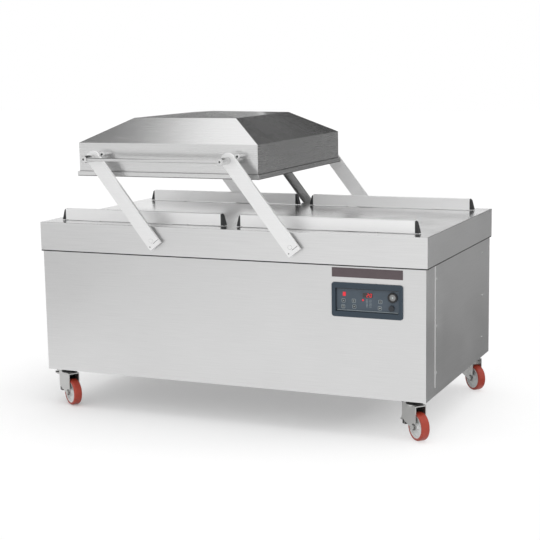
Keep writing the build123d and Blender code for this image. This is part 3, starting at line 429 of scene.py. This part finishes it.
panel_film = grained("Panel film", (0.06, 0.085, 0.11), (0.085, 0.11, 0.14), 0.4, scale=900.0)
window_gloss = grained("Display window", (0.012, 0.006, 0.008), (0.02, 0.01, 0.012), 0.12, depth=0.01,
                       coat=0.6)
black_gloss = grained("Black moulded plastic", (0.01, 0.01, 0.011), (0.018, 0.018, 0.02), 0.28, depth=0.08,
                      edge=(0.06, 0.06, 0.065))
button_plastic = grained("Button plastic", (0.018, 0.021, 0.027), (0.026, 0.030, 0.037), 0.4, depth=0.08,
                         edge=(0.07, 0.075, 0.08))
name_film = grained("Name plate film", (0.10, 0.075, 0.082), (0.12, 0.092, 0.1), 0.38, depth=0.05)
pump_paint = grained("Pump casting paint", (0.08, 0.11, 0.15), (0.11, 0.15, 0.19), 0.5, scale=120.0,
                     depth=0.4)
core_varnish = grained("Core varnish", (0.06, 0.05, 0.045), (0.1, 0.085, 0.07), 0.4)
box_paint = grained("Box paint", (0.5, 0.5, 0.49), (0.56, 0.56, 0.55), 0.45, scale=700.0)
hose_rubber = grained("Hose rubber", (0.012, 0.012, 0.013), (0.03, 0.03, 0.03), 0.7)
gasket_rubber = grained("Gasket rubber", (0.02, 0.02, 0.02), (0.04, 0.04, 0.04), 0.75)
silicone = grained("Silicone strip", (0.35, 0.08, 0.05), (0.45, 0.11, 0.07), 0.6)
bar_end_plastic = grained("Bar end plastic", (0.02, 0.02, 0.022), (0.035, 0.035, 0.038), 0.5,
                          edge=(0.09, 0.09, 0.09))
hub_plastic = grained("Wheel hub plastic", (0.82, 0.83, 0.83), (0.88, 0.89, 0.88), 0.45, depth=0.15)
tyre_plastic = grained("Red tyre", (0.38, 0.042, 0.022), (0.49, 0.06, 0.033), 0.38, depth=0.15,
                       edge=(0.5, 0.09, 0.05))
gland_plastic = grained("Gland plastic", (0.02, 0.02, 0.02), (0.04, 0.04, 0.04), 0.5)

wear(cabinet_steel, "front_panel", "rear_panel", "side_panel_left", "side_panel_right", "floor_pan",
     "panel_screws")
wear(worktop_steel, "worktop")
wear(lid_steel, "lid_shell")
wear(arm_steel, "front_arm_left", "front_arm_right", "rear_arm_left", "rear_arm_right")
wear(frame_steel, "frame", "channel_arm")
wear(turned_steel, "lid_pivots")
wear(screw_steel, "lid_screws")
wear(machined_steel, "lift_cylinders", "pivot_bearings", "arm_shaft_left", "arm_shaft_right")
wear(dark_steel, "castor_plates")
wear(handle_chrome, "lid_handle")
wear(bezel_plastic, "panel_bezel")
wear(panel_film, "control_plate")
wear(window_gloss, "display_window")
wear(black_gloss, "gauge_housing")
wear(button_plastic, "power_button")
wear(dial_metal, "gauge_dial")
wear(name_film, "name_plate")
wear(pump_paint, "vacuum_pump")
wear(block_metal, "valve_block")
wear(hose_rubber, "vacuum_hoses")
wear(core_varnish, "transformer")
wear(box_paint, "electrical_box")
wear(gland_plastic, "power_inlet")
wear(gasket_rubber, "lid_gasket")
wear(silicone, "silicone_strips")
wear(bar_metal, "counter_bars")
for side in sides:
    for row in rows:
        wear(bar_metal, f"seal_bar_{side}_{row}")
        wear(bar_end_plastic, f"seal_bar_ends_{side}_{row}")
for corner in corners:
    wear(castor_finish(corner), f"castor_fork_{corner}")
    wear(hub_plastic, f"wheel_hub_{corner}")
    wear(tyre_plastic, f"wheel_tyre_{corner}")
    if "front" in corner:
        wear(zinc_plate, f"brake_pedal_{corner}")


def smooth_by_angle(degrees=32.0):
    """Smooth shading on the CAD nodes, with a hard edge where faces turn by more than this angle."""
    for name in nodes:
        mesh = nodes[name].data
        mesh.shade_smooth()
        for edge in mesh.edges:
            edge.use_edge_sharp = False
        mesh.set_sharp_from_angle(angle=math.radians(degrees))


smooth_by_angle()

# ---- Printing on the control plate ---------------------------------------------------------------

plate_low, plate_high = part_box("control_plate")
plate_middle = (plate_low + plate_high) / 2
PRINT_LIFT = 0.00015


def flat_shapes(name, outlines, material, body="base", lift=PRINT_LIFT, middle=None, face=None):
    """One thin piece made of flat outlines that face the front; each outline is a list of (x, z) points."""
    middle = middle or plate_middle
    face = plate_low.y if face is None else face
    mesh = bmesh.new()
    for outline in outlines:
        corners_made = [mesh.verts.new((middle.x + x, face, middle.z + z)) for x, z in outline]
        made = mesh.faces.new(corners_made)
        made.normal_update()
        if made.normal.y > 0:
            made.normal_flip()
    grown = bmesh.ops.extrude_face_region(mesh, geom=mesh.faces[:])
    moved = [item for item in grown["geom"] if isinstance(item, bmesh.types.BMVert)]
    bmesh.ops.translate(mesh, verts=moved, vec=(0, -lift, 0))
    bmesh.ops.recalc_face_normals(mesh, faces=mesh.faces[:])
    data = bpy.data.meshes.new(name)
    mesh.to_mesh(data)
    mesh.free()
    data.materials.append(material)
    piece = bpy.data.objects.new(name, data)
    bpy.context.scene.collection.objects.link(piece)
    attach(piece, body)


def disc(x, z, radius, steps=32):
    turn = 2 * math.pi / steps
    return [(x + radius * math.cos(i * turn), z + radius * math.sin(i * turn)) for i in range(steps)]


def bar(x, z, width, height, slant=0.0):
    """Corners of an upright or slanted bar round its middle."""
    w, h = width / 2, height / 2
    lean = slant * h
    return [(x - w - lean, z - h), (x + w - lean, z - h), (x + w + lean, z + h), (x - w + lean, z + h)]


def rounded_frame(x, z, width, height, corner, line):
    """Outline of a key, as a ring of short pieces; corner is its radius and line its width."""
    def loop(inset):
        w, h, r = width / 2 - inset, height / 2 - inset, max(corner - inset, 0.0002)
        points = []
        for quarter, (sx, sz) in enumerate(((1, 1), (-1, 1), (-1, -1), (1, -1))):
            for step in range(7):
                angle = math.radians(90 * quarter + 15 * step)
                middle_x, middle_z = x + sx * (w - r), z + sz * (h - r)
                points.append((middle_x + r * math.cos(angle), middle_z + r * math.sin(angle)))
        return points
    outer, inner = loop(0.0), loop(line)
    count = len(outer)
    return [[outer[i], outer[(i + 1) % count], inner[(i + 1) % count], inner[i]] for i in range(count)]


def triangle(x, z, size, up=1):
    return [(x - size, z - up * size * 0.5), (x + size, z - up * size * 0.5), (x, z + up * size * 0.8)]


def printed_ink(name, colour, roughness=0.45, glow=0.0):
    """Screen-printed ink with a slightly uneven film."""
    material, tree, shader = new_material(name)
    grain = tree.place(fine_grain, Scale=1500.0, Depth=0.05)
    darker = tuple(0.82 * channel for channel in colour)
    ink = tree.blend(grain["Blotches"], (*darker, 1.0), (*colour, 1.0))
    tree.feed(shader.inputs["Base Color"], ink)
    rough = tree.remap(grain["Grain"], 0.3, 0.7, roughness - 0.05, roughness + 0.05)
    tree.feed(shader.inputs["Roughness"], rough)
    if glow:
        tree.feed(shader.inputs["Emission Color"], ink)
        shader.inputs["Emission Strength"].default_value = glow
    return material


pale_ink = printed_ink("Pale ink", (0.42, 0.48, 0.50))
white_ink = printed_ink("White ink", (0.62, 0.68, 0.68))
dark_ink = printed_ink("Dark ink", (0.03, 0.036, 0.045))
red_lamp = printed_ink("Red lamp", (0.85, 0.03, 0.05), 0.25, glow=0.25)
red_digit = printed_ink("Red digit", (0.8, 0.02, 0.03), 0.3, glow=0.5)

KEY = 0.017          # outer size of a flat key
KEY_CORNER = 0.004
KEY_LINE = 0.0016
KEY_MARGIN = 0.004   # key's outer size less its printed face
key_places = ((-0.109, -0.005), (-0.111, -0.031), (-0.062, -0.004), (-0.060, -0.029), (0.058, -0.002),
              (0.056, -0.030))
frames = []
for key_x, key_z in key_places:
    frames += rounded_frame(key_x, key_z, KEY, KEY, KEY_CORNER, KEY_LINE)
flat_shapes("Key_outlines", frames, pale_ink)
key_faces = [bar(x, z, KEY - KEY_MARGIN, KEY - KEY_MARGIN) for x, z in key_places]
flat_shapes("Key_faces", key_faces, dark_ink, lift=PRINT_LIFT / 2)
flat_shapes("Key_signs", [
    triangle(-0.109, -0.005, 0.0035),
    bar(-0.111, -0.028, 0.008, KEY_LINE),
    bar(-0.111, -0.034, 0.008, KEY_LINE),
    bar(-0.062, -0.004, 0.0022, 0.009),
    triangle(-0.060, -0.029, 0.0035, -1),
    bar(0.058, -0.002, 0.009, KEY_LINE),
    disc(0.056, -0.030, 0.0028)], white_ink)
flat_shapes("Indicator_lamp", [bar(-0.105, 0.024, 0.0135, 0.018)], red_lamp, lift=0.0012)
flat_shapes("Program_lamp", [disc(-0.020, 0.0015, 0.0046)], red_lamp, lift=0.0010)
LEGEND_ROWS, LEGEND_TOP, LEGEND_STEP = 6, 0.003, 0.006
legend_levels = [LEGEND_TOP - row * LEGEND_STEP for row in range(LEGEND_ROWS)]
legend = [bar(-0.0025, level, 0.0075, 0.0016) for level in legend_levels]
legend += [bar(0.013, level, 0.011, 0.0010) for level in legend_levels]
flat_shapes("Program_legend", legend, pale_ink)
FACE_WIDTH, FACE_HEIGHT = 0.286, 0.102   # of the plate inside its surround
RECESS_SHADE_TOP, RECESS_SHADE_FOOT, RECESS_SHADE_SIDE = 0.0044, 0.0016, 0.0018
flat_shapes("Plate_border", [bar(0, 0.005 - FACE_HEIGHT / 2, FACE_WIDTH - 0.012, 0.0022)], pale_ink)
# painted shadow: dark strips round the plate where its surround casts shade, widest along the top
flat_shapes("Plate_recess_shade", [
    bar(0, (FACE_HEIGHT - RECESS_SHADE_TOP) / 2, FACE_WIDTH, RECESS_SHADE_TOP),
    bar(0, (RECESS_SHADE_FOOT - FACE_HEIGHT) / 2, FACE_WIDTH, RECESS_SHADE_FOOT),
    bar((RECESS_SHADE_SIDE - FACE_WIDTH) / 2, 0, RECESS_SHADE_SIDE, FACE_HEIGHT),
    bar((FACE_WIDTH - RECESS_SHADE_SIDE) / 2, 0, RECESS_SHADE_SIDE, FACE_HEIGHT)], black_gloss)


def seven_segment(x, z, height, lit):
    """Slanted digit; lit names its segments from a to g."""
    half, w, line, slant = height / 2, height * 0.27, height * 0.17, 0.16
    places = {"a": (0, half, True), "d": (0, -half, True), "g": (0, 0, True), "b": (w, half / 2, False),
              "c": (w, -half / 2, False), "e": (-w, -half / 2, False), "f": (-w, half / 2, False)}
    shapes = []
    for key in lit:
        dx, dz, level = places[key]
        size = (2 * w - line * 0.4, line) if level else (line, half - line * 0.4)
        shapes.append(bar(x + dx + slant * dz, z + dz, *size, 0.0 if level else slant))
    return shapes


window_low, window_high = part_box("display_window")
window_middle = (window_low + window_high) / 2
digits = seven_segment(0.0005, 0.0, 0.0140, "abged") + seven_segment(0.0140, 0.0, 0.0140, "abcdef")
flat_shapes("Display_digits", digits, red_digit, middle=window_middle, face=window_low.y, lift=0.0001)

# ---- Vacuum gauge face ---------------------------------------------------------------------------

dial_low, dial_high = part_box("gauge_dial")
dial_middle = (dial_low + dial_high) / 2
dial_radius = (dial_high.x - dial_low.x) / 2
GAUGE_START, GAUGE_SWEEP = math.radians(225), math.radians(270)


def gauge_ticks():
    """Short marks round the dial, every fifth one longer."""
    marks = []
    for step in range(26):
        angle = GAUGE_START - GAUGE_SWEEP * step / 25
        long = step % 5 == 0
        inner, outer = dial_radius * (0.66 if long else 0.76), dial_radius * 0.88
        half = math.radians(2.2 if long else 1.1)
        marks.append([(inner * math.cos(angle - half), inner * math.sin(angle - half)),
                      (outer * math.cos(angle - half), outer * math.sin(angle - half)),
                      (outer * math.cos(angle + half), outer * math.sin(angle + half)),
                      (inner * math.cos(angle + half), inner * math.sin(angle + half))])
    return marks


needle_angle = GAUGE_START - GAUGE_SWEEP * 0.04
needle_tip = (dial_radius * 0.72 * math.cos(needle_angle), dial_radius * 0.72 * math.sin(needle_angle))
needle_side = (0.0009 * math.sin(needle_angle), -0.0009 * math.cos(needle_angle))
needle = [(-needle_side[0], -needle_side[1]), needle_tip, needle_side]
flat_shapes("Gauge_ticks", gauge_ticks(), white_ink, middle=dial_middle, face=dial_low.y)
flat_shapes("Gauge_needle", [needle], dark_ink, middle=dial_middle, face=dial_low.y, lift=0.0006)
# painted highlight: a white disc on the needle's hub stands for a glint
flat_shapes("Gauge_hub_highlight", [disc(0, 0, 0.0042)], white_ink, middle=dial_middle, face=dial_low.y, lift=0.0009)

# ---- Painted shadow strip under the worktop's band -------------------------------------------------

SHADOW_STRIP_HEIGHT = 0.0055
SHADOW_STRIP_CLEARANCE = 0.0002
SHADOW_STRIP_SETBACK = 0.0012    # behind the band's face


def box_piece(name, boxes, material, body):
    """One piece made of plain boxes, each given by its low and high corner."""
    mesh = bmesh.new()
    for low, high in boxes:
        low, high = Vector(low), Vector(high)
        place = Matrix.Translation((low + high) / 2) @ Matrix.Diagonal((*(high - low), 1.0))
        bmesh.ops.create_cube(mesh, size=1.0, matrix=place)
    data = bpy.data.meshes.new(name)
    mesh.to_mesh(data)
    mesh.free()
    data.materials.append(material)
    piece = bpy.data.objects.new(name, data)
    bpy.context.scene.collection.objects.link(piece)
    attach(piece, body)


def band_shadow_strip():
    """Dark strip between the band and the cabinet's four sides, a painted shadow in the gasket rubber
    finish.
    """
    _, side_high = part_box("side_panel_right")
    _, back_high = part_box("rear_panel")
    inner_x = side_high.x + SHADOW_STRIP_CLEARANCE
    inner_front, inner_back = front_low.y - SHADOW_STRIP_CLEARANCE, back_high.y + SHADOW_STRIP_CLEARANCE
    outer_x = top_high.x - SHADOW_STRIP_SETBACK
    outer_front, outer_back = top_low.y + SHADOW_STRIP_SETBACK, top_high.y - SHADOW_STRIP_SETBACK
    high = top_low.z
    low = high - SHADOW_STRIP_HEIGHT
    strips = [((-outer_x, outer_front, low), (outer_x, inner_front, high)),
              ((-outer_x, inner_back, low), (outer_x, outer_back, high)),
              ((-outer_x, inner_front, low), (-inner_x, inner_back, high)),
              ((inner_x, inner_front, low), (outer_x, inner_back, high))]
    # painted shadow: the dark strip stands for the shadow under the band's lower edge
    box_piece("Band_shadow_strip", strips, gasket_rubber, "base")


band_shadow_strip()

# ---- Studio --------------------------------------------------------------------------------------

FLOOR_REACH = 30.0
FLOOR_GAP = 0.0002               # floor under the wheels
SHADOW_MIDDLE = (-0.45, 0.0, 0.0)
SHADOW_NEAR, SHADOW_FAR = 0.95, 2.0   # the shadow is full up to here, and gone from there


def seen_directly(tree):
    """1 for rays from the camera and for reflections and glass, 0 for the light that falls on things."""
    rays = tree.node("ShaderNodeLightPath")
    seen = tree.maths("MAXIMUM", rays.outputs["Is Camera Ray"], rays.outputs["Is Glossy Ray"])
    return tree.maths("MAXIMUM", seen, rays.outputs["Is Transmission Ray"])


def flat_sheet(name, corners_of_sheet, material):
    """Floor or card: one face with its finish."""
    mesh = bpy.data.meshes.new(name)
    mesh.from_pydata(corners_of_sheet, [], [(0, 1, 2, 3)])
    mesh.materials.append(material)
    sheet = bpy.data.objects.new(name, mesh)
    bpy.context.scene.collection.objects.link(sheet)
    return sheet


def studio_floor():
    """Matt white floor that keeps a soft shadow near the machine and fades into the white studio."""
    material, tree, shader = new_material("Studio floor paint")
    seen = seen_directly(tree)
    shader.inputs["Roughness"].default_value = 0.9
    shader.inputs["Specular IOR Level"].default_value = 0.1
    place = tree.node("ShaderNodeTexCoord").outputs["Object"]
    distance = tree.node("ShaderNodeVectorMath", operation="DISTANCE")
    tree.feed(distance.inputs[0], place)
    distance.inputs[1].default_value = SHADOW_MIDDLE
    glow = tree.remap(distance.outputs["Value"], SHADOW_NEAR, SHADOW_FAR, 0.22, 1.0)
    paint = tree.blend(glow, grey(0.95), grey(0.0))
    tree.feed(shader.inputs["Base Color"], tree.blend(seen, grey(0.75), paint))
    shader.inputs["Emission Color"].default_value = grey(1.0)
    tree.feed(shader.inputs["Emission Strength"], tree.maths("MULTIPLY", glow, seen))
    level = cad_low[2] - FLOOR_GAP
    size = FLOOR_REACH
    flat_sheet("Studio floor", [(-size, -size, level), (size, -size, level), (size, size, level),
                                (-size, size, level)], material)


def dark_card(name, shade, corners_of_card):
    """Grey card that only shows as a reflection in the steel."""
    material, tree, shader = new_material(name + " felt")
    place = tree.node("ShaderNodeTexCoord").outputs["Object"]
    felt = tree.remap(tree.noise(place, 40.0), 0.3, 0.7, 0.0, 1.0)
    tree.feed(shader.inputs["Base Color"], tree.blend(felt, grey(0.8 * shade), grey(1.2 * shade)))
    shader.inputs["Roughness"].default_value = 1.0
    card = flat_sheet(name, corners_of_card, material)
    card.visible_camera = False
    card.visible_shadow = False
    card.visible_diffuse = False


def soft_lamp(name, place, aim, size, power):
    """Softbox that lights the machine but doesn't mirror in the steel."""
    data = bpy.data.lights.new(name, "AREA")
    data.shape = "RECTANGLE"
    data.size, data.size_y = size
    data.energy = power
    lamp = bpy.data.objects.new(name, data)
    bpy.context.scene.collection.objects.link(lamp)
    lamp.location = place
    lamp.visible_glossy = False
    lamp.rotation_euler = (Vector(aim) - Vector(place)).to_track_quat("-Z", "Y").to_euler()


def studio_world():
    """White to the eye and to reflections, and brighter from above than from the sides as light."""
    world = bpy.data.worlds.new("Studio light")
    bpy.context.scene.world = world
    world.use_nodes = True
    tree = Tree(world.node_tree)
    sky = world.node_tree.nodes["Background"]
    up = tree.node("ShaderNodeSeparateXYZ")
    tree.feed(up.inputs[0], tree.node("ShaderNodeTexCoord").outputs["Generated"])
    overhead = tree.remap(up.outputs[2], 0.0, 1.0, 0.28, 1.25)
    seen = seen_directly(tree)
    unseen = tree.maths("SUBTRACT", 1.0, seen)
    tree.feed(sky.inputs["Strength"], tree.maths("MULTIPLY_ADD", overhead, unseen, seen))
    sky.inputs["Color"].default_value = grey(1.0)


def look_through_camera():
    """Camera a little above the worktop, to the right of the machine's front."""
    data = bpy.data.cameras.new("Camera")
    camera = bpy.data.objects.new("Camera", data)
    bpy.context.scene.collection.objects.link(camera)
    data.sensor_width = 36.0
    data.lens = 88.07
    data.clip_end = 60.0
    heading, tilt, roll = 0.4131, -0.1618, 0.0167
    turn = Matrix.Rotation(heading, 4, "Z") @ Matrix.Rotation(tilt, 4, "X") @ Matrix.Rotation(roll, 4, "Y")
    place = Matrix.Translation((2.53125, machine_front - 5.2449, 1.6534))
    camera.matrix_world = place @ turn @ Matrix.Rotation(math.radians(90), 4, "X")
    bpy.context.scene.camera = camera


CARDS = {   # name: (grey, corners)
    "Card low right": (0.4, [
        (0.5, 2.5, 0.0), (5.5, 2.9, 0.0), (5.5, 2.9, 0.75), (0.5, 2.5, 0.75)]),
    "Card high right": (0.21, [
        (0.5, 2.5, 0.75), (5.5, 2.9, 0.75), (5.5, 2.9, 1.9), (0.5, 2.5, 1.9)]),
    "Card on floor right": (0.2, [
        (1.1, -0.3, 0.002), (4.0, -0.3, 0.002), (4.5, 2.8, 0.002), (0.6, 2.5, 0.002)]),
    "Card behind lid right": (0.02, [
        (-0.8, 1.8, 1.42), (1.9, 1.8, 1.42), (1.9, 2.2, 3.4), (-0.8, 2.2, 3.4)]),
    "Card behind lid left": (0.03, [
        (-1.9, 1.8, 1.85), (-0.8, 1.8, 1.85), (-0.8, 2.2, 3.4), (-1.9, 2.2, 3.4)]),
    "Card behind crown": (0.5, [
        (-1.9, 1.8, 1.5), (-0.8, 1.8, 1.5), (-0.8, 1.8, 1.85), (-1.9, 1.8, 1.85)]),
    "Card left of crown": (0.78, [
        (-3.4, 1.8, 1.5), (-1.9, 1.8, 1.5), (-1.9, 1.8, 2.3), (-3.4, 1.8, 2.3)]),
    "Card over left": (0.2, [
        (-4.5, -1.5, 3.0), (-1.55, -1.5, 3.4), (-1.55, 2.0, 3.4), (-4.5, 2.0, 3.0)]),
    "Card front left": (0.75, [
        (-3.25, -4.6, 0.0), (-1.8, -5.2, 0.0), (-1.8, -5.2, 0.6), (-3.25, -4.6, 0.6)]),
    "Card on floor left": (0.3, [
        (-5.0, -4.5, 0.003), (-2.3, -4.5, 0.003), (-2.3, -1.5, 0.003), (-5.0, -1.5, 0.003)]),
    "Card front upper": (0.84, [
        (-5.0, -3.9, 0.95), (-2.1, -5.1, 0.95), (-2.1, -5.1, 1.35), (-5.0, -3.9, 1.35)]),
}

studio_floor()
studio_world()
for name, (shade, card_corners) in CARDS.items():
    dark_card(name, shade, card_corners)
soft_lamp("Top softbox", (0.4, 0.3, 4.2), (0, 0, 0.8), (3.6, 3.6), 50.0)
soft_lamp("Front softbox", (2.2, -5.2, 3.4), (0, 0, 0.6), (3.0, 2.5), 35.0)
look_through_camera()
bpy.context.scene.view_settings.view_transform = "Standard"
